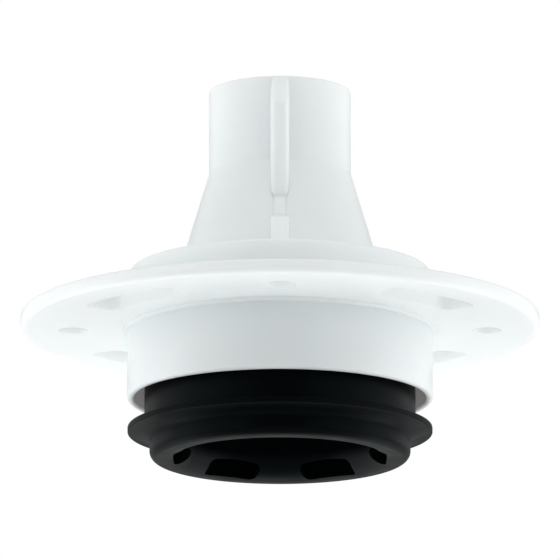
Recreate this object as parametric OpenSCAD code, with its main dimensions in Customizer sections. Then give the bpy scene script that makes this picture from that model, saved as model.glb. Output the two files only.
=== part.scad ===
// Flanged vent base: a white ribbed pipe housing on a round mounting flange with a collar, and a
// black insert that plugs up into the collar. Millimetres, +Z up along the common axis.
// The origin is the centre of the flange's underside.

/* [Pipe stub] */
// Outside radius of the pipe stub
stub_r = 25; // [20:0.5:26]
// Length of the stub above the cone
stub_h = 30; // [20:1:60]
// Wall thickness of the pipe housing
wall = 3; // [2:0.1:3.4]

/* [Cone and shoulder] */
// Outside radius at the foot of the cone
cone_r = 35.5; // [32:0.5:40]
// Height of the cone
cone_h = 35; // [25:1:50]
// Outside radius of the shoulder
shoulder_r = 52.7; // [52:0.1:54]
// Height of the shoulder above the flange
shoulder_h = 16.1; // [12:0.1:20]
// Rounding of the shoulder's top edge
shoulder_edge = 1; // [0.4:0.1:2]

/* [Ribs] */
// Number of ribs around the housing
rib_n = 2; // [1:1:2]
// Width of a rib and of its foot
rib_w = 6.3; // [5:0.1:8]
// Rounding of the long edges of a rib
rib_edge = 1.6; // [0.4:0.1:2.2]
// Distance from the axis to the outer face of a rib on the stub
rib_r = 29.8; // [28:0.1:31]
// Length over which a rib rises from the rim of the stub
rib_rise = 10.5; // [4:0.5:14]
// Width of the low strip that joins a rib to its foot
strip_w = 4.8; // [3:0.1:6]
// Height of the strip above the cone
strip_t = 0.5; // [0.3:0.1:1]
// Height of the gap between a rib and the strip
strip_gap = 0.5; // [0.3:0.1:1]
// Height of a rib's foot above the shoulder
foot_h = 12.3; // [8:0.1:16]
// Distance from the axis to the upper end of a foot's outer face
foot_top_r = 34.2; // [33.6:0.1:36]
// Distance from the axis to the lower end of a foot's outer face
foot_r = 38.5; // [38:0.1:42]

/* [Mounting flange] */
// Outside radius of the flange
flange_r = 91; // [86:0.5:110]
// Thickness of the flange
flange_t = 4.8; // [4:0.1:8]
// Rounding of the flange's lower edge
flange_edge = 2.4; // [1:0.1:2.4]
// Number of screw holes, and of slots between them
screw_n = 4; // [3:1:6]
// Diameter of the screw hole circle
screw_pcd = 145; // [140:1:150]
// Radius of a screw hole
screw_r = 5.25; // [2:0.05:6]
// Radius of the middle of the slots
slot_r = 71.5; // [68:0.5:74]
// Width of a slot
slot_w = 13; // [6:0.5:14]
// Angle that a slot covers
slot_angle = 31.5; // [20:0.5:34]
// Corner rounding of a slot
slot_corner = 4; // [1:0.5:4]

/* [Collar] */
// Outside radius of the collar
collar_r = 53.5; // [53:0.1:56]
// Radius of the collar's bore
bore_r = 51; // [50.6:0.1:51.4]
// Depth of the collar below the flange
collar_h = 25; // [20:0.5:40]
// Rounding of the collar's lower edges
collar_edge = 1.2; // [0.4:0.1:1.2]
// Radius of the bead at the collar's root
bead_r = 54.7; // [54:0.1:56]
// Radius of the ledge that stops the insert
ledge_r = 47.5; // [45:0.5:48]

/* [Insert] */
// Outside radius of the sleeve
sleeve_r = 47.4; // [47:0.1:48]
// Distance from the flange to the lower end of the sleeve
sleeve_depth = 34.7; // [32:0.1:45]
// Radius of the sleeve's bore
sleeve_bore_r = 44.6; // [44:0.1:45]
// Clearance between parts that move
gap = 0.3; // [0.2:0.05:0.4]
// Outside radius of the sealing lip
lip_r = 53.3; // [50:0.1:55]
// Height of the sealing lip's rim
lip_rim_h = 2.1; // [1:0.1:3]
// Height of the flare under the lip's rim
lip_flare_h = 3; // [2:0.1:5]

/* [Mouth] */
// Outside radius of the mouth ring
mouth_r = 45.6; // [45:0.1:47]
// Distance from the flange to the bottom of the mouth
mouth_depth = 46.3; // [44:0.1:60]
// Rounding of the mouth's outer lower edge
mouth_edge = 3; // [1:0.1:3]
// Width of the flat under the mouth's rim
rim_flat = 2.3; // [0.5:0.1:4]
// Radius of the bell's curve from rim to throat
bell_curve = 9; // [8:0.5:14]
// Wall thickness of the bell
bell_wall = 2.2; // [1.6:0.1:2.6]
// Number of ports in the bell
port_n = 6; // [4:1:7]
// Width of a port
port_w = 20.4; // [10:0.1:21]
// Height of a port along the bell's wall
port_h = 7.6; // [4:0.1:8]
// Corner rounding of a port
port_corner = 2.2; // [0.5:0.1:2.4]

/* [Seals] */
// Section radius of the sleeve's O-rings
o_ring_r = 1.5; // [1:0.1:1.7]
// Section radius of the mouth's O-ring
small_o_ring_r = 0.9; // [0.6:0.1:1]
// Thickness of the gasket under the shoulder
gasket_t = 1.6; // [1:0.1:2]

/* [Hidden] */
$fn = 96;
eps = 0.01;
white = "#f2f4f3";
black = "#1b1d1f";
rubber = "#101112";

// heights of the housing
shoulder_top = flange_t + shoulder_h;
cone_top = shoulder_top + cone_h;
stub_top = cone_top + stub_h;
stub_edge = 0.8;
stub_bore_r = stub_r - wall;
shoulder_bore_r = shoulder_r - wall;
cone_slope = (cone_r - stub_r) / cone_h;

// ribs: the outer face stands until it meets the strip's face, where a short gap parts them
rib_meet = cone_top - (rib_r - strip_t - stub_r) / cone_slope;
rib_low = rib_meet + strip_gap / 2;
rib_top = stub_top - stub_edge;
rib_start = 0.3;
strip_top = rib_meet - strip_gap / 2;
foot_top = shoulder_top + foot_h;

// locating ring on top of the flange, inside the shoulder
ring_h = 5;
ring_out_r = shoulder_bore_r - 0.1;
gasket_in_r = ring_out_r + 0.1;
gasket_out_r = gasket_in_r + 1.6;
bead_h = 1.2;

// slots
slot_in_r = slot_r - slot_w / 2;
slot_out_r = slot_r + slot_w / 2;

// sleeve: a guide head with two O-ring grooves runs in the collar's bore
head_r = bore_r - gap;
head_h = 13;
head_top = -gap;
head_low = head_top - head_h;
groove_w = 2 * o_ring_r + 0.3;
groove_z = [head_top - 3.5, head_top - 9.2];
o_ring_gap = 0.1;
o_ring_mid_r = bore_r - o_ring_gap - o_ring_r;
groove_r = o_ring_mid_r - o_ring_r;

// mouth: a spigot runs in the sleeve's bore
spigot_gap = 0.08;
spigot_r = sleeve_bore_r - spigot_gap;
spigot_top = -sleeve_depth + 12;
spigot_wall = 2.6;
lip_low = sleeve_depth + lip_rim_h + lip_flare_h;
mouth_top = -lip_low - gap;
small_groove_z = spigot_top - 4;
small_o_ring_gap = 0.05;
small_mid_r = sleeve_bore_r - small_o_ring_gap - small_o_ring_r;
small_groove_r = small_mid_r - small_o_ring_r;
small_groove_w = 2 * small_o_ring_r + 0.2;
bell_mid_r = mouth_r - mouth_edge - rim_flat;
bell_mid_z = -mouth_depth + bell_curve;
bell_back = bell_curve - bell_wall;
throat_r = bell_mid_r - bell_curve;
throat_top = spigot_top;
pocket_r = spigot_r - spigot_wall;
port_angle = 44.5;

// outside radius of the cone at height z
function cone_at(z) = stub_r + (cone_top - z) * cone_slope;

// points on an arc about c, from angle a to angle b, with n steps
function arc(c, r, a, b, n = 12) =
    [for (i = [0:n]) c + r * [cos(a + (b - a) * i / n), sin(a + (b - a) * i / n)]];

// square bar along +Z with rounded outer corners, its outer face at distance r along -Y
module bar(w, r, z0, z1) {
    translate([0, 0, z0]) linear_extrude(height = z1 - z0) {
        translate([-w / 2, -r + rib_edge]) square([w, r - rib_edge]);
        translate([-w / 2 + rib_edge, -r]) square([w - 2 * rib_edge, r]);
        for (s = [-1, 1])
            translate([s * (w / 2 - rib_edge), -r + rib_edge]) circle(r = rib_edge, $fn = 32);
    }
}

// a side outline, as [distance from the axis, height], made w wide across X towards -Y
module plate(w, points) {
    rotate([90, 0, -90]) linear_extrude(height = w, center = true) polygon(points);
}

// a rib on the stub, the low strip below it on the cone, and its foot on the shoulder
module rib() {
    intersection() {
        bar(rib_w, rib_r, rib_low, rib_top);
        plate(rib_w + 2, [
            [stub_r - 1, rib_low], [rib_r + 1, rib_low], [rib_r + 1, stub_top - rib_rise],
            [rib_r, stub_top - rib_rise], [stub_r + rib_start, stub_top], [stub_r - 1, stub_top]
        ]);
    }
    plate(strip_w, [
        [stub_r, foot_top - 1], [cone_at(foot_top - 1) + strip_t, foot_top - 1],
        [cone_at(strip_top) + strip_t, strip_top], [stub_r, strip_top]
    ]);
    plate(rib_w, [
        [cone_r - wall, shoulder_top - 1], [foot_r, shoulder_top - 1], [foot_r, shoulder_top],
        [foot_top_r, foot_top], [stub_r + wall, foot_top]
    ]);
}

module pipe_housing() {
    color(white) difference() {
        union() {
            rotate_extrude() polygon(concat(
                [[0, stub_top], [stub_r - stub_edge, stub_top], [stub_r, stub_top - stub_edge],
                 [stub_r, cone_top], [cone_r, shoulder_top]],
                arc([shoulder_r - shoulder_edge, shoulder_top - shoulder_edge],
                    shoulder_edge, 90, 0, 6),
                [[shoulder_r, flange_t], [0, flange_t]]
            ));
            for (i = [0:rib_n - 1]) rotate(i * 180) rib();
        }
        // stub bore, cone and shoulder hollow
        translate([0, 0, cone_top - eps]) cylinder(r = stub_bore_r, h = stub_h + 1);
        translate([0, 0, shoulder_top - wall])
            cylinder(r1 = cone_r - wall + cone_slope * wall, r2 = stub_bore_r, h = cone_h + wall);
        translate([0, 0, flange_t - 1]) cylinder(r = shoulder_bore_r, h = shoulder_h - wall + 1);
        // rebate for the gasket
        translate([0, 0, flange_t - 1]) cylinder(r = gasket_out_r, h = gasket_t + 1);
    }
}

module screw_holes() {
    for (i = [0:screw_n - 1]) rotate(i * 360 / screw_n)
        translate([0, -screw_pcd / 2, -1]) cylinder(r = screw_r, h = flange_t + 2, $fn = 48);
}

// one slot with rounded corners, centred on angle zero
module slot() {
    half = slot_angle / 2;
    inset_in = asin(slot_corner / (slot_in_r + slot_corner));
    inset_out = asin(slot_corner / (slot_out_r - slot_corner));
    for (s = [-1, 1]) {
        for (c = [[slot_in_r + slot_corner, inset_in], [slot_out_r - slot_corner, inset_out]])
            rotate(s * (half - c[1])) translate([c[0], 0, -1])
                cylinder(r = slot_corner, h = flange_t + 2, $fn = 48);
    }
    rotate(-half) translate([0, 0, -1]) rotate_extrude(angle = slot_angle)
        translate([slot_in_r + slot_corner, 0]) square([slot_w - 2 * slot_corner, flange_t + 2]);
    rotate(-half + inset_in) translate([0, 0, -1]) rotate_extrude(angle = slot_angle - 2 * inset_in)
        translate([slot_in_r, 0]) square([slot_w, flange_t + 2]);
}

module mounting_flange() {
    color(white) difference() {
        rotate_extrude() polygon(concat(
            [[ledge_r, 0], [bore_r, 0], [bore_r, -collar_h + collar_edge]],
            arc([bore_r + collar_edge, -collar_h + collar_edge], collar_edge, 180, 270, 6),
            arc([collar_r - collar_edge, -collar_h + collar_edge], collar_edge, 270, 360, 6),
            [[collar_r, -bead_h]],
            arc([bead_r - bead_h / 2, -bead_h / 2], bead_h / 2, 270, 360, 4),
            [[bead_r, 0]],
            arc([flange_r - flange_edge, flange_edge], flange_edge, 270, 360, 8),
            [[flange_r, flange_t - 0.6], [flange_r - 0.6, flange_t], [ring_out_r, flange_t],
             [ring_out_r, flange_t + ring_h], [ledge_r, flange_t + ring_h]]
        ));
        screw_holes();
        for (i = [0:screw_n - 1]) rotate((i + 0.5) * 360 / screw_n) slot();
    }
}

module housing_gasket() {
    color(rubber) translate([0, 0, flange_t]) difference() {
        cylinder(r = gasket_out_r, h = gasket_t);
        translate([0, 0, -1]) cylinder(r = gasket_in_r, h = gasket_t + 2);
    }
}

module o_ring(mid_r, r, z) {
    color(rubber) translate([0, 0, z]) rotate_extrude() translate([mid_r, 0]) circle(r = r, $fn = 32);
}

// groove around the outside, from radius r outwards
module groove(r, w, z) {
    translate([0, 0, z - w / 2]) rotate_extrude() translate([r, 0]) square([10, w]);
}

module insert_sleeve() {
    color(black) difference() {
        union() {
            translate([0, 0, -sleeve_depth]) cylinder(r = sleeve_r, h = sleeve_depth + head_top);
            translate([0, 0, head_low]) cylinder(r = head_r, h = head_h);
        }
        translate([0, 0, -sleeve_depth - 1]) cylinder(r = sleeve_bore_r, h = sleeve_depth + 2);
        for (z = groove_z) groove(groove_r, groove_w, z);
    }
}

module upper_o_ring() {
    o_ring(o_ring_mid_r, o_ring_r, groove_z[0]);
}

module lower_o_ring() {
    o_ring(o_ring_mid_r, o_ring_r, groove_z[1]);
}

module lip_seal() {
    rim_low = -sleeve_depth - lip_rim_h;
    flare_w = lip_r - mouth_r;
    color(rubber) rotate_extrude() polygon(concat(
        [[sleeve_bore_r + gap, -sleeve_depth], [lip_r - 0.4, -sleeve_depth],
         [lip_r, -sleeve_depth - 0.4]],
        [for (t = [90:-10:0])
            [lip_r - flare_w * cos(t), rim_low - lip_flare_h * (1 - sin(t))]],
        [[sleeve_bore_r + gap, -lip_low]]
    ));
}

// one port, as a rounded block along the bell's wall normal
module port() {
    translate([0, -bell_mid_r, bell_mid_z]) rotate([port_angle, 0, 0])
        translate([0, 0, -bell_curve - 2]) linear_extrude(height = bell_wall + 3.2) {
            square([port_w - 2 * port_corner, port_h], center = true);
            square([port_w, port_h - 2 * port_corner], center = true);
            for (x = [-1, 1], y = [-1, 1])
                translate([x * (port_w / 2 - port_corner), y * (port_h / 2 - port_corner)])
                    circle(r = port_corner, $fn = 32);
        }
}

module port_mouth() {
    mid = [bell_mid_r, bell_mid_z];
    foot = [mouth_r - mouth_edge, -mouth_depth + mouth_edge];
    pocket_a = acos((bell_mid_r - pocket_r) / bell_back);
    color(black) difference() {
        // spigot, foot, then the bell from rim to throat and back down to the pocket
        rotate_extrude() polygon(concat(
            [[pocket_r, spigot_top], [spigot_r, spigot_top], [spigot_r, mouth_top],
             [mouth_r, mouth_top]],
            arc(foot, mouth_edge, 0, -90, 5),
            arc(mid, bell_curve, 270, 180, 10),
            [[throat_r, throat_top], [throat_r + bell_wall, throat_top]],
            arc(mid, bell_back, 180, 180 + pocket_a, 8)
        ));
        groove(small_groove_r, small_groove_w, small_groove_z);
        for (i = [0:port_n - 1]) rotate((i + 0.5) * 360 / port_n) port();
    }
}

module mouth_o_ring() {
    o_ring(small_mid_r, small_o_ring_r, small_groove_z);
}

pipe_housing();
mounting_flange();
housing_gasket();
insert_sleeve();
upper_o_ring();
lower_o_ring();
lip_seal();
port_mouth();
mouth_o_ring();
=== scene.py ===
"""A flanged vent base: a white ribbed pipe housing on a mounting flange, and a black plug-in insert.

Every piece is built in metres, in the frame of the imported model. Outlines are given in millimetres
as (distance from the axis, height, corner rounding) and turned about the Z axis.
"""

import math

import bmesh
import bpy
from mathutils import Matrix, Vector


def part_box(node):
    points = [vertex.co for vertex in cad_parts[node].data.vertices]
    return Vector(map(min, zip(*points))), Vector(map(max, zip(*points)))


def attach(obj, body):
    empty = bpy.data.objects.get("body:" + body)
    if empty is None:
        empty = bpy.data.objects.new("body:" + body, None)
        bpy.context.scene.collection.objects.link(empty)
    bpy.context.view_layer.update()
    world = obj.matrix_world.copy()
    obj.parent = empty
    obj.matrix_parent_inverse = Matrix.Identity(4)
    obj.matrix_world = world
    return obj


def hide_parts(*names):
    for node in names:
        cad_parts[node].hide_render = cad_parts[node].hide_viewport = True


MM = 0.001

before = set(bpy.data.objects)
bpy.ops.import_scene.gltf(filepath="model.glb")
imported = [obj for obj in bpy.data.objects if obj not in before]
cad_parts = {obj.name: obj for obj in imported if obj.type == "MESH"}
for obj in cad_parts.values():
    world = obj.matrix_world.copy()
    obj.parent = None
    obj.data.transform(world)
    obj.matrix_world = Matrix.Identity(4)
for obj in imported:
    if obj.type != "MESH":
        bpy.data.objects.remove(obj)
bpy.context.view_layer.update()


def span(node):
    """(radius, lowest height, highest height) of a round CAD node, in millimetres."""
    low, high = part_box(node)
    return high.x / MM, low.z / MM, high.z / MM


# ---------------------------------------------------------------- sizes, in millimetres

SHOULDER_R, FLANGE_TOP, STUB_TOP = span("pipe_housing")
FLANGE_R, COLLAR_LOW, RING_TOP = span("mounting_flange")
HEAD_R, SLEEVE_LOW, SLEEVE_TOP = span("insert_sleeve")
LIP_R, LIP_LOW, LIP_TOP = span("lip_seal")
MOUTH_R, MOUTH_LOW, SPIGOT_TOP = span("port_mouth")

# Pipe housing
STUB_R = 25.0
STUB_H = 30.0
WALL = 3.0
CONE_R = 35.5            # at its foot
CONE_H = 35.0
CONE_TOP = STUB_TOP - STUB_H
SHOULDER_TOP = CONE_TOP - CONE_H
CONE_SLOPE = (CONE_R - STUB_R) / CONE_H
HOUSING_GAP = 0.05       # keeps the shoulder's lower face off the flange

# Rib on the stub and cone, low strip below it, and foot below the strip
RIB_HALF = 3.15          # half of its width
RIB_EDGE = 1.65          # rounding of its long edges
RIB_FILLET = 0.25
RIB_DRAFT = 0.02         # lean of its sides
RIB_R = 29.8             # of its outer face
RIB_RISE = 10.5          # length over which it grows, from the stub's top down
RIB_START = 0.3          # how far it stands out at the stub's top
RIB_TAPER = 1.5          # height over which its low end widens from the strip
RIB_COLUMNS = 7.0        # half of the width that its columns of vertices take
STRIP_T = 0.5
STRIP_SHARE = 0.86       # the strip's width, as a share of the rib's
RIB_END = CONE_TOP - (RIB_R - STRIP_T - STUB_R) / CONE_SLOPE
GAP_HALF = 0.5           # half of the height of the groove between rib and strip
GAP_DEPTH = 0.75
FOOT_TOP = SHOULDER_TOP + 12.3
FOOT_TOP_R = 34.2
FOOT_R = 38.5
FOOT_FLARE = 0.5         # distance over which the strip rises to the foot's top

# Mounting flange and collar
COLLAR_R = 53.5
BORE_R = 51.0
LEDGE_R = 47.5
RING_R = 49.6
BEAD_R = 54.7
BEAD_H = 1.0             # at its outer face
BEAD_FOOT = 1.3          # height where it meets the collar
SCREWS = 4               # and as many slots, between them
SCREW_PCD = 145.0
SCREW_R = 5.25
SLOT_R = 71.5            # of its middle line
SLOT_W = 13.0
SLOT_ANGLE = math.radians(31.5)
SLOT_CORNER = 4.0
CUT_PAST = 3             # how far the cutters go past the flange's faces
CUT_EDGE = 0.45          # rounding of the edges that they leave

# Insert
SLEEVE_R = 47.4
SLEEVE_BORE_R = 44.6
HEAD_H = 13.0
GROOVE_W = 3.3
GROOVE_DEPTH = 2.8
GROOVES = (9.2, 3.5)     # middles, below the sleeve's top
LIP_EDGE = 2.1           # height of the lip's outer face
LIP_FIT = 0.35           # between the sleeve's bore and the lip's inner face

# Mouth
MOUTH_EDGE = 3.0         # rounding of the rim's outer edge
RIM_FLAT = 2.3           # width of its lowest part
BELL_CURVE = 9.0         # radius of the bell's section
BELL_WALL = 2.2
MOUTH_GAP = 0.01         # keeps the mouth off the lip above it
SPIGOT_FIT = 0.08        # between the spigot and the sleeve's bore
SPIGOT_WALL = 2.6
SPIGOT_GROOVE = 2.0      # height of its O-ring groove
PORTS = 6
PORT_W = 20.4
PORT_H = 7.6
PORT_CORNER = 2.2
PORT_ANGLE = math.radians(44.5)
PORT_EDGE = 0.3          # rounding of the ports' edges

GASKET_W = 1.6
SEGMENTS = 240           # of a lathed piece, around the axis


# ---------------------------------------------------------------- outlines

def rounded(corners, steps=7):
    """A closed outline whose corners (x, y, rounding) are arcs."""
    points = []
    for i, (x, y, r) in enumerate(corners):
        here = Vector((x, y))
        to_last = (Vector(corners[i - 1][:2]) - here).normalized()
        to_next = (Vector(corners[(i + 1) % len(corners)][:2]) - here).normalized()
        if not r:
            points.append(here)
            continue
        half = to_last.angle(to_next) / 2
        centre = here + (to_last + to_next).normalized() * r / math.sin(half)
        first = here + to_last * r / math.tan(half) - centre
        turn = (math.pi - 2 * half) * (1 if to_last.cross(to_next) < 0 else -1)
        for k in range(steps + 1):
            points.append(centre + Matrix.Rotation(turn * k / steps, 2) @ first)
    return points


def arc(centre, r, start, end, steps):
    """Points on an arc, from start to end in degrees."""
    turns = [math.radians(start + (end - start) * k / steps) for k in range(steps + 1)]
    return [Vector((centre[0] + r * math.cos(a), centre[1] + r * math.sin(a))) for a in turns]


def circle(centre, r, count):
    """Points all the way around a circle."""
    return arc(centre, r, 0, 360 - 360 / count, count - 1)


def split(points, longest):
    """The closed outline again, with each edge cut into parts no longer than longest(edge's middle)."""
    out = []
    for a, b in zip(points, points[1:] + points[:1]):
        parts = max(1, math.ceil((b - a).length / longest((a + b) / 2)))
        out += [a.lerp(b, k / parts) for k in range(parts)]
    return out


# ---------------------------------------------------------------- meshes

def new_object(name, data):
    obj = bpy.data.objects.new(name, data)
    bpy.context.scene.collection.objects.link(obj)
    return obj


def solid(name, points, faces):
    """A closed mesh from points in millimetres, with its faces turned outward."""
    mesh = bpy.data.meshes.new(name)
    mesh.from_pydata([p * MM for p in points], [], faces)
    bm = bmesh.new()
    bm.from_mesh(mesh)
    bmesh.ops.recalc_face_normals(bm, faces=bm.faces)
    bm.to_mesh(mesh)
    bm.free()
    return new_object(name, mesh)


def grid_mesh(name, rows):
    """A mesh closed both ways from rows of points, each row a ring about the axis."""
    n, m = len(rows), len(rows[0])
    faces = []
    for i in range(n):
        for j in range(m):
            k, l = (i + 1) % n, (j + 1) % m
            faces.append((i * m + j, i * m + l, k * m + l, k * m + j))
    return solid(name, [p for row in rows for p in row], faces)


def lathe(name, outline):
    """A closed outline turned about the axis."""
    turns = [2 * math.pi * j / SEGMENTS for j in range(SEGMENTS)]
    rows = [[Vector((p.x * math.cos(a), p.x * math.sin(a), p.y)) for a in turns] for p in outline]
    return grid_mesh(name, rows)


def prism(name, outline, low, high):
    """A closed solid from a flat outline, between two heights."""
    n = len(outline)
    points = [Vector((p.x, p.y, z)) for z in (low, high) for p in outline]
    faces = [tuple(range(n)), tuple(range(n, 2 * n))]
    faces += [(i, (i + 1) % n, n + (i + 1) % n, n + i) for i in range(n)]
    return solid(name, points, faces)


def apply_modifiers(obj):
    bpy.context.view_layer.update()
    evaluated = obj.evaluated_get(bpy.context.evaluated_depsgraph_get())
    mesh = bpy.data.meshes.new_from_object(evaluated)
    obj.modifiers.clear()
    obj.data = mesh


def cut(obj, cutters):
    """Cuts the cutters out of obj, and removes them."""
    for cutter in cutters:
        boolean = obj.modifiers.new("cut", "BOOLEAN")
        boolean.operation = "DIFFERENCE"
        boolean.solver = "EXACT"
        boolean.object = cutter
        apply_modifiers(obj)
        bpy.data.objects.remove(cutter)


def soften(obj, width):
    """Rounds the sharp edges that cutting left."""
    bevel = obj.modifiers.new("edges", "BEVEL")
    bevel.width = width * MM
    bevel.segments = 3
    bevel.limit_method = "ANGLE"
    bevel.angle_limit = math.radians(35)
    apply_modifiers(obj)


def smooth(obj):
    """Shades obj smooth, with the large faces staying flat."""
    obj.data.shade_smooth()
    normals = obj.modifiers.new("normals", "WEIGHTED_NORMAL")
    normals.weight = 80
    apply_modifiers(obj)


# ---------------------------------------------------------------- materials

GLOW_DEPTH = 0.006               # how deep light goes into the white plastic, in metres
GLOW_SHARES = (1, 0.87, 0.85)    # of that depth, for red, green and blue
GRAIN_HEIGHT = 0.00005           # in metres
COLOUR_SCALE, GLOSS_SCALE, GRAIN_SCALE = 28, 90, 2600
NOISE_LOW, NOISE_HIGH = 0.3, 0.7
SMOOTHER, ROUGHER = 0.04, 0.05   # how far the roughness strays from its value
NEUTRAL, BLUISH = (1, 1, 1), (0.7, 0.93, 1)


def plastic(name, color, roughness, sheen, tone, grain, spread, glow=0):
    """Moulded plastic: a fine grain in the surface, and slow changes of colour, by the share spread,
    and of gloss. sheen and tone are the strength and colour of its reflections. Light goes into it
    where glow is above 0."""
    mat = bpy.data.materials.new(name)
    mat.use_nodes = True
    nodes, links = mat.node_tree.nodes, mat.node_tree.links
    shader = nodes["Principled BSDF"]
    shader.inputs["Specular IOR Level"].default_value = sheen
    shader.inputs["Specular Tint"].default_value = (*tone, 1)
    shader.inputs["Subsurface Weight"].default_value = glow
    shader.inputs["Subsurface Radius"].default_value = GLOW_SHARES
    shader.inputs["Subsurface Scale"].default_value = GLOW_DEPTH
    place = nodes.new("ShaderNodeTexCoord")

    def noise(scale, detail):
        node = nodes.new("ShaderNodeTexNoise")
        node.inputs["Scale"].default_value = scale
        node.inputs["Detail"].default_value = detail
        links.new(place.outputs["Object"], node.inputs["Vector"])
        return node.outputs["Fac"]

    def between(fac, low, high):
        """Turns a noise into values from low to high."""
        node = nodes.new("ShaderNodeMapRange")
        node.inputs["From Min"].default_value = NOISE_LOW
        node.inputs["From Max"].default_value = NOISE_HIGH
        node.inputs["To Min"].default_value = low
        node.inputs["To Max"].default_value = high
        links.new(fac, node.inputs["Value"])
        return node.outputs["Result"]

    tint = nodes.new("ShaderNodeMix")
    tint.data_type = "RGBA"
    tint.inputs["A"].default_value = (*[c * (1 - spread) for c in color], 1)
    tint.inputs["B"].default_value = (*[min(1, c * (1 + spread)) for c in color], 1)
    links.new(between(noise(COLOUR_SCALE, 3), 0, 1), tint.inputs["Factor"])
    links.new(tint.outputs["Result"], shader.inputs["Base Color"])
    gloss = between(noise(GLOSS_SCALE, 4), roughness - SMOOTHER, roughness + ROUGHER)
    links.new(gloss, shader.inputs["Roughness"])
    bump = nodes.new("ShaderNodeBump")
    bump.inputs["Strength"].default_value = grain
    bump.inputs["Distance"].default_value = GRAIN_HEIGHT
    links.new(noise(GRAIN_SCALE, 2), bump.inputs["Height"])
    links.new(bump.outputs["Normal"], shader.inputs["Normal"])
    return mat


WHITE = plastic("white_plastic", color=(0.845, 0.875, 0.88), roughness=0.32, sheen=0.3,
                tone=NEUTRAL, grain=0.12, spread=0.01, glow=0.7)
BLACK = plastic("black_plastic", color=(0.0006, 0.0012, 0.0015), roughness=0.42, sheen=0.048,
                tone=BLUISH, grain=0.2, spread=0.12)
RUBBER = plastic("black_rubber", color=(0.0008, 0.0014, 0.0017), roughness=0.46, sheen=0.048,
                 tone=BLUISH, grain=0.3, spread=0.12)


def finish_piece(obj, material, body, node):
    """Smooths obj, gives it its material, puts it under its body, and hides the CAD node it stands for.
    """
    smooth(obj)
    obj.data.materials.clear()
    obj.data.materials.append(material)
    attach(obj, body)
    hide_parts(node)


# ---------------------------------------------------------------- pipe housing

EDGE_STEPS = 9
FILLET_STEPS = 3
SIDE_STEPS = 38          # from the rib's last column to the housing's side
CLOSE_ROWS = 0.12        # longest step between rows at the rib's end and the foot's top
WIDE_ROWS = 0.9          # and elsewhere


def rib_section(reach):
    """Half of a section across a rib that stands reach proud, as (place from its middle, rise) for
    each column of vertices: a flat top, a large rounded edge, an upright side and a small fillet.
    The last three columns lie on the housing beside it."""
    rounding = max(min(reach, RIB_EDGE), RIB_START)
    end = math.acos(1 - rounding / RIB_EDGE)
    flat = RIB_HALF - RIB_EDGE
    points = [(0, reach), (flat / 2, reach)]
    for k in range(EDGE_STEPS + 1):
        a = end * k / EDGE_STEPS
        points.append((flat + RIB_EDGE * math.sin(a), reach - RIB_EDGE * (1 - math.cos(a))))
    side = flat + RIB_EDGE * math.sin(end) + RIB_DRAFT
    fillet = min(RIB_FILLET, 0.3 * reach)
    for k in range(FILLET_STEPS + 1):
        a = math.pi / 2 * k / FILLET_STEPS
        points.append((side + RIB_FILLET * (1 - math.cos(a)), fillet * (1 - math.sin(a))))
    foot = side + RIB_FILLET
    points += [(x, 0) for x in (foot + 0.5, foot + 1.4, RIB_COLUMNS)]
    return [(x, max(rise, 0)) for x, rise in points]


def rib_outer(p):
    """The point of a rib's outer face that goes with point p of the housing's outline. It is p itself
    where p is inside the housing or past the foot, with some slack for the outline's roundings."""
    surface = STUB_R + max(0, CONE_TOP - p.y) * CONE_SLOPE
    inside = p.x < max(surface - 0.5, STUB_R - 0.05) or p.y < SHOULDER_TOP - 0.05
    slant = math.hypot(1, CONE_SLOPE)
    cone_part = (FOOT_TOP - SHOULDER_TOP) * slant
    length = cone_part + FOOT_R - CONE_R
    on_shoulder = p.x > CONE_R + 0.2
    down = cone_part + p.x - CONE_R if on_shoulder else (FOOT_TOP - p.y) * slant
    if inside or down > length:
        return p
    if down >= 0:
        return Vector((FOOT_TOP_R, FOOT_TOP)).lerp(Vector((FOOT_R, SHOULDER_TOP)), down / length)
    if p.y < RIB_END:
        to_foot = max(0, 1 + down / FOOT_FLARE)
        strip = surface + STRIP_T
        return Vector((strip + (FOOT_TOP_R - strip) * to_foot ** 2, p.y))
    rise = min(1, (STUB_TOP - p.y) / RIB_RISE)
    return Vector((max(surface, STUB_R + RIB_START + (RIB_R - STUB_R - RIB_START) * rise), p.y))


def housing_row(p):
    """One row of vertices, all the way around, for point p of the outline. A groove parts the rib
    from the strip, which is narrower than the rib, and the rib's low end narrows toward it."""
    outer = rib_outer(p)
    reach = (outer - p).length
    way = (outer - p).normalized()
    above_end = p.y - RIB_END
    half = []
    for x, rise in rib_section(reach):
        if abs(above_end) < GAP_HALF and rise > 0:
            rise -= GAP_DEPTH * (1 - (above_end / GAP_HALF) ** 2)
        if FOOT_TOP + 0.2 < p.y < RIB_END:
            x *= STRIP_SHARE
        elif above_end >= 0 and reach < RIB_EDGE and x < RIB_COLUMNS:
            x *= STRIP_SHARE + (1 - STRIP_SHARE) * min(1, above_end / RIB_TAPER)
        half.append((x, -math.sqrt(p.x ** 2 - x ** 2) - rise * way.x, p.y + rise * way.y))
    turn = math.asin(RIB_COLUMNS / p.x)
    for k in range(1, SIDE_STEPS):
        a = turn + (math.pi / 2 - turn) * k / SIDE_STEPS
        half.append((p.x * math.sin(a), -p.x * math.cos(a), p.y))
    back = [(x, -y, z) for x, y, z in reversed(half)]
    right = half + [(p.x, 0, p.y)] + back
    left = [(-x, y, z) for x, y, z in reversed(right[1:-1])]
    return [Vector(v) for v in right + left]


def row_distance(p):
    """How far apart the rows may be at p: close at the rib's low end and at the foot's top."""
    near_end = p.x > STUB_R and min(abs(p.y - RIB_END), abs(p.y - FOOT_TOP - 0.25)) < 0.9
    return CLOSE_ROWS if near_end else WIDE_ROWS


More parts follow.
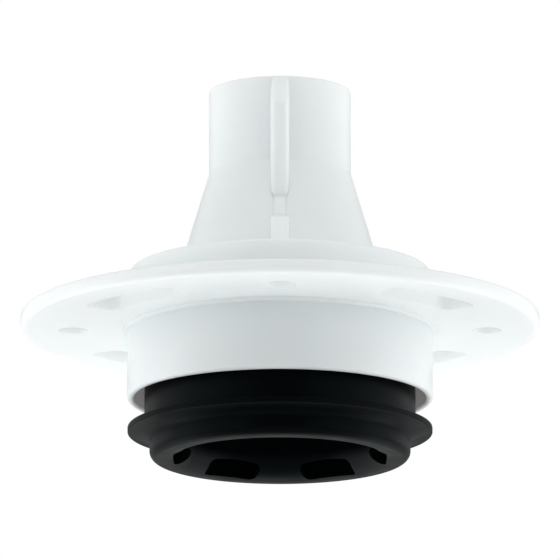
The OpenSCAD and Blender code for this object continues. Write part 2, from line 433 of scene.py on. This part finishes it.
def pipe_housing():
    inner_top = SHOULDER_TOP - WALL
    low = FLANGE_TOP + HOUSING_GAP
    outline = rounded([
        (STUB_R, STUB_TOP, 0.7), (STUB_R, CONE_TOP, 0.3), (CONE_R, SHOULDER_TOP, 0.6),
        (SHOULDER_R, SHOULDER_TOP, 0.9), (SHOULDER_R, low, 0.25),
        (SHOULDER_R - WALL, low, 0.2), (SHOULDER_R - WALL, inner_top, 1.5),
        (CONE_R - WALL + CONE_SLOPE * WALL, inner_top, 0.8),
        (STUB_R - WALL, CONE_TOP, 1), (STUB_R - WALL, STUB_TOP, 0.5)
    ])
    obj = grid_mesh("housing_shell", [housing_row(p) for p in split(outline, row_distance)])
    finish_piece(obj, WHITE, "housing", "pipe_housing")


# ---------------------------------------------------------------- mounting flange

def slot_outline():
    """An arc-shaped slot with rounded corners, centred on +X."""
    near = SLOT_R - SLOT_W / 2 + SLOT_CORNER
    far = SLOT_R + SLOT_W / 2 - SLOT_CORNER
    turn_near = SLOT_ANGLE / 2 - math.asin(SLOT_CORNER / near)
    turn_far = SLOT_ANGLE / 2 - math.asin(SLOT_CORNER / far)

    def side(r, start, end):
        """A long side without its ends, which are in the corners."""
        return arc((0, 0), r, math.degrees(start), math.degrees(end), 14)[1:-1]

    def corner(r, turn, start):
        """A quarter circle around the point at r and turn, from start degrees past turn."""
        start += math.degrees(turn)
        return arc((r * math.cos(turn), r * math.sin(turn)), SLOT_CORNER, start, start + 90, 8)

    return (
        side(near - SLOT_CORNER, turn_near, -turn_near)
        + corner(near, -turn_near, 180) + corner(far, -turn_far, 270)
        + side(far + SLOT_CORNER, -turn_far, turn_far)
        + corner(far, turn_far, 0) + corner(near, turn_near, 90)
    )


def mounting_flange():
    obj = lathe("flange_and_collar", rounded([
        (LEDGE_R, 0, 0.3), (BORE_R, 0, 0.3), (BORE_R, COLLAR_LOW, 1.15),
        (COLLAR_R, COLLAR_LOW, 1.3), (COLLAR_R, -BEAD_FOOT, 0.4), (BEAD_R, -BEAD_H, 0.5),
        (BEAD_R, 0, 0.3), (FLANGE_R, 0, 2.4), (FLANGE_R, FLANGE_TOP, 0.8),
        (RING_R, FLANGE_TOP, 0.2), (RING_R, RING_TOP, 0.5), (LEDGE_R, RING_TOP, 0.5)
    ]))
    low, high = -CUT_PAST, FLANGE_TOP + CUT_PAST
    cutters = []
    for i in range(SCREWS):
        turn = Matrix.Rotation(2 * math.pi * i / SCREWS, 4, "Z")
        hole = prism("hole", circle((SCREW_PCD / 2, 0), SCREW_R, 48), low, high)
        slot = prism("slot", slot_outline(), low, high)
        hole.data.transform(turn)
        slot.data.transform(Matrix.Rotation(math.pi / SCREWS, 4, "Z") @ turn)
        cutters += [hole, slot]
    cut(obj, cutters)
    soften(obj, CUT_EDGE)
    finish_piece(obj, WHITE, "housing", "mounting_flange")


# ---------------------------------------------------------------- insert

def insert_sleeve():
    head_low = SLEEVE_TOP - HEAD_H
    deep = HEAD_R - GROOVE_DEPTH
    corners = [(SLEEVE_BORE_R, SLEEVE_TOP, 0.4), (SLEEVE_BORE_R, SLEEVE_LOW, 0.2),
               (SLEEVE_R, SLEEVE_LOW, 0.2), (SLEEVE_R, head_low, 0.6), (HEAD_R, head_low, 0.5)]
    for middle in [SLEEVE_TOP - below for below in GROOVES]:
        low, high = middle - GROOVE_W / 2, middle + GROOVE_W / 2
        corners += [(HEAD_R, low, 0.15), (deep, low, 0.3), (deep, high, 0.3), (HEAD_R, high, 0.15)]
    corners.append((HEAD_R, SLEEVE_TOP, 0.5))
    obj = lathe("sleeve_shell", rounded(corners))
    finish_piece(obj, BLACK, "insert", "insert_sleeve")


def lip_seal():
    """A ring whose underside sweeps out from the mouth to the lip's edge along an ellipse."""
    rim = LIP_TOP - LIP_EDGE
    inside = SLEEVE_BORE_R + LIP_FIT
    flare = [
        Vector((LIP_R - (LIP_R - MOUTH_R) * math.cos(t), LIP_LOW + (rim - LIP_LOW) * math.sin(t)))
        for t in [math.radians(a) for a in range(84, -1, -6)]
    ]
    inward = (LIP_R - 1, rim, 0)     # only turns the corner before it, and is left out
    top = rounded([
        (inside, LIP_LOW, 0), (inside, LIP_TOP, 0), (LIP_R, LIP_TOP, 0.4), (LIP_R, rim, 0.35), inward
    ])[:-1]
    obj = lathe("sealing_lip", top + flare)
    finish_piece(obj, RUBBER, "insert", "lip_seal")


# ---------------------------------------------------------------- mouth

BELL_MIDDLE = (MOUTH_R - MOUTH_EDGE - RIM_FLAT, MOUTH_LOW + BELL_CURVE)


def port_cutter(turn):
    """A rounded block that goes square through the bell's wall."""
    w, h = PORT_W / 2, PORT_H / 2
    outline = rounded([(-w, -h, PORT_CORNER), (w, -h, PORT_CORNER), (w, h, PORT_CORNER),
                       (-w, h, PORT_CORNER)])
    past_front, past_back = 2, 1.2
    obj = prism("port", outline, -BELL_CURVE - past_front, -BELL_CURVE + BELL_WALL + past_back)
    middle = Vector((0, -BELL_MIDDLE[0], BELL_MIDDLE[1])) * MM
    tilt = Matrix.Translation(middle) @ Matrix.Rotation(PORT_ANGLE, 4, "X")
    obj.data.transform(Matrix.Rotation(turn, 4, "Z") @ tilt)
    return obj


def port_mouth():
    """The rim, the bell with its ports, the throat's tube, and the spigot that goes into the sleeve.
    The outside's first and last corners only turn the ones beside them, and are left out."""
    edge_middle = (MOUTH_R - MOUTH_EDGE, MOUTH_LOW + MOUTH_EDGE)
    top = LIP_LOW - MOUTH_GAP
    spigot = SLEEVE_BORE_R - SPIGOT_FIT
    pocket = spigot - SPIGOT_WALL
    throat = BELL_MIDDLE[0] - BELL_CURVE
    back = BELL_CURVE - BELL_WALL
    pocket_turn = 180 + math.degrees(math.acos((BELL_MIDDLE[0] - pocket) / back))
    seal_r, seal_low, seal_high = span("mouth_o_ring")
    groove_low = (seal_low + seal_high) / 2 - SPIGOT_GROOVE / 2
    groove_high = groove_low + SPIGOT_GROOVE
    groove_r = seal_r - (seal_high - seal_low)
    outside = rounded([
        (pocket, edge_middle[1], 0), (pocket, SPIGOT_TOP, 0.4), (spigot, SPIGOT_TOP, 0.5),
        (spigot, groove_high, 0.15), (groove_r, groove_high, 0.2),
        (groove_r, groove_low, 0.2), (spigot, groove_low, 0.15),
        (spigot, top, 0.1), (MOUTH_R, top, 0.02), (MOUTH_R, edge_middle[1], 0)
    ])[1:-1]
    rim = arc(edge_middle, MOUTH_EDGE, 0, -84, 9)
    bell = arc(BELL_MIDDLE, BELL_CURVE, 270, 183, 32)
    tube = rounded([
        (throat, BELL_MIDDLE[1], 0), (throat, SPIGOT_TOP, 0.6),
        (throat + BELL_WALL, SPIGOT_TOP, 0.6), (throat + BELL_WALL, BELL_MIDDLE[1], 0)
    ])
    behind_bell = arc(BELL_MIDDLE, back, 183, pocket_turn, 28)
    obj = lathe("ported_mouth", outside + rim + bell + tube + behind_bell)
    cut(obj, [port_cutter(math.radians(360 / PORTS * (i + 0.5))) for i in range(PORTS)])
    soften(obj, PORT_EDGE)
    finish_piece(obj, BLACK, "mouth", "port_mouth")


# ---------------------------------------------------------------- seals

def ring_seal(name, node, body):
    """An O-ring with the size and place of its CAD node."""
    r, low, high = span(node)
    section = (high - low) / 2
    obj = lathe(name, circle((r - section, (low + high) / 2), section, 30))
    finish_piece(obj, RUBBER, body, node)


def housing_gasket():
    r, low, high = span("housing_gasket")
    obj = lathe("shoulder_gasket", rounded([
        (r, low, 0.2), (r, high, 0.2), (r - GASKET_W, high, 0.2), (r - GASKET_W, low, 0.2)
    ]))
    finish_piece(obj, RUBBER, "housing", "housing_gasket")


# ---------------------------------------------------------------- studio, in metres

CAMERA_PITCH = math.radians(12.94)
CAMERA_DISTANCE = 2.458
CAMERA_AIM = Vector((0, 0, 0.0182))
CAMERA_LENS = 450
FLOOR_BELOW_CAMERA = 0.06
ROOM_LIGHT = 1.52

# Dimmed parts of the room: the angle from the middle where the dimming starts, the angle inside
# which it is full, and the share of the light that is left there.
DARK_FRONT = (40, 12, 0.05)
DARK_BACK = (50, 15, 0.3)
DARK_TOP = (85, 40, 0.4)


def camera():
    """Looks up at the object from in front of it and below it."""
    data = bpy.data.cameras.new("camera")
    data.lens = CAMERA_LENS
    data.sensor_width = 36
    data.clip_end = 50
    obj = new_object("camera", data)
    back = Vector((0, -math.cos(CAMERA_PITCH), -math.sin(CAMERA_PITCH)))
    obj.location = CAMERA_AIM + back * CAMERA_DISTANCE
    obj.rotation_euler = (math.pi / 2 + CAMERA_PITCH, 0, 0)
    bpy.context.scene.camera = obj
    return obj


def floor(height):
    mesh = bpy.data.meshes.new("floor")
    bm = bmesh.new()
    bmesh.ops.create_circle(bm, cap_ends=True, segments=64, radius=12)
    bm.to_mesh(mesh)
    bm.free()
    mat = bpy.data.materials.new("floor")
    mat.use_nodes = True
    shader = mat.node_tree.nodes["Principled BSDF"]
    shader.inputs["Base Color"].default_value = (0.9, 0.9, 0.9, 1)
    shader.inputs["Roughness"].default_value = 0.9
    mesh.materials.append(mat)
    obj = new_object("floor", mesh)
    obj.location = (0, 0, height)


def softbox(name, place, size, power):
    """An area light that faces the object, and that the camera doesn't see."""
    data = bpy.data.lights.new(name, "AREA")
    data.shape = "RECTANGLE"
    data.size, data.size_y = size
    data.energy = power
    obj = new_object(name, data)
    obj.location = place
    obj.rotation_euler = (CAMERA_AIM - Vector(place)).to_track_quat("-Z", "Y").to_euler()
    obj.visible_camera = False


def surroundings():
    """A bright room, dimmer overhead and dark in front of the object and behind it, so that the
    black insert and the outlines stay dark. What the camera sees of it is white."""
    world = bpy.data.worlds.new("studio")
    bpy.context.scene.world = world
    world.use_nodes = True
    nodes, links = world.node_tree.nodes, world.node_tree.links
    nodes.clear()
    place = nodes.new("ShaderNodeTexCoord")

    def dimmed(light, way, start, full, left):
        """light, less in the directions around way. start and full are angles in degrees."""
        facing = nodes.new("ShaderNodeVectorMath")
        facing.operation = "DOT_PRODUCT"
        facing.inputs[1].default_value = way
        links.new(place.outputs["Generated"], facing.inputs[0])
        ramp = nodes.new("ShaderNodeMapRange")
        ramp.interpolation_type = "SMOOTHSTEP"
        ramp.inputs["From Min"].default_value = math.cos(math.radians(start))
        ramp.inputs["From Max"].default_value = math.cos(math.radians(full))
        ramp.inputs["To Min"].default_value = 1
        ramp.inputs["To Max"].default_value = left
        links.new(facing.outputs["Value"], ramp.inputs["Value"])
        product = nodes.new("ShaderNodeMath")
        product.operation = "MULTIPLY"
        links.new(ramp.outputs["Result"], product.inputs[0])
        links.new(light, product.inputs[1])
        return product.outputs["Value"]

    room = nodes.new("ShaderNodeValue")
    room.outputs["Value"].default_value = ROOM_LIGHT
    level, rise = math.cos(CAMERA_PITCH), math.sin(CAMERA_PITCH)
    light = dimmed(room.outputs["Value"], (0, -level, rise), *DARK_FRONT)
    light = dimmed(light, (0, level, rise), *DARK_BACK)
    light = dimmed(light, (0, 0, 1), *DARK_TOP)
    lit = nodes.new("ShaderNodeBackground")
    lit.inputs["Color"].default_value = (0.98, 1, 1, 1)
    links.new(light, lit.inputs["Strength"])
    seen = nodes.new("ShaderNodeBackground")
    seen.inputs["Color"].default_value = (1, 1, 1, 1)
    ray = nodes.new("ShaderNodeLightPath")
    mix = nodes.new("ShaderNodeMixShader")
    links.new(ray.outputs["Is Camera Ray"], mix.inputs["Fac"])
    links.new(lit.outputs["Background"], mix.inputs[1])
    links.new(seen.outputs["Background"], mix.inputs[2])
    out = nodes.new("ShaderNodeOutputWorld")
    links.new(mix.outputs["Shader"], out.inputs["Surface"])


eye = camera()
floor(eye.location.z - FLOOR_BELOW_CAMERA)
surroundings()
softbox("left_softbox", (-1.4, -0.1, -0.1), (0.5, 0.6), 1.8)
softbox("right_softbox", (1.4, -0.1, -0.1), (0.5, 0.6), 1.8)
softbox("low_left_softbox", (-0.65, 0.15, -0.5), (0.6, 0.4), 1.7)
softbox("low_right_softbox", (0.65, 0.15, -0.5), (0.6, 0.4), 1.7)
softbox("low_back_softbox", (0.0, 0.35, -0.52), (0.9, 0.3), 1.5)
softbox("high_front_softbox", (0.0, -1.2, 1.4), (1.2, 0.8), 6.0)
bpy.context.scene.view_settings.view_transform = "Standard"

pipe_housing()
mounting_flange()
insert_sleeve()
lip_seal()
port_mouth()
ring_seal("upper_seal_ring", "upper_o_ring", "insert")
ring_seal("lower_seal_ring", "lower_o_ring", "insert")
ring_seal("mouth_seal_ring", "mouth_o_ring", "mouth")
housing_gasket()
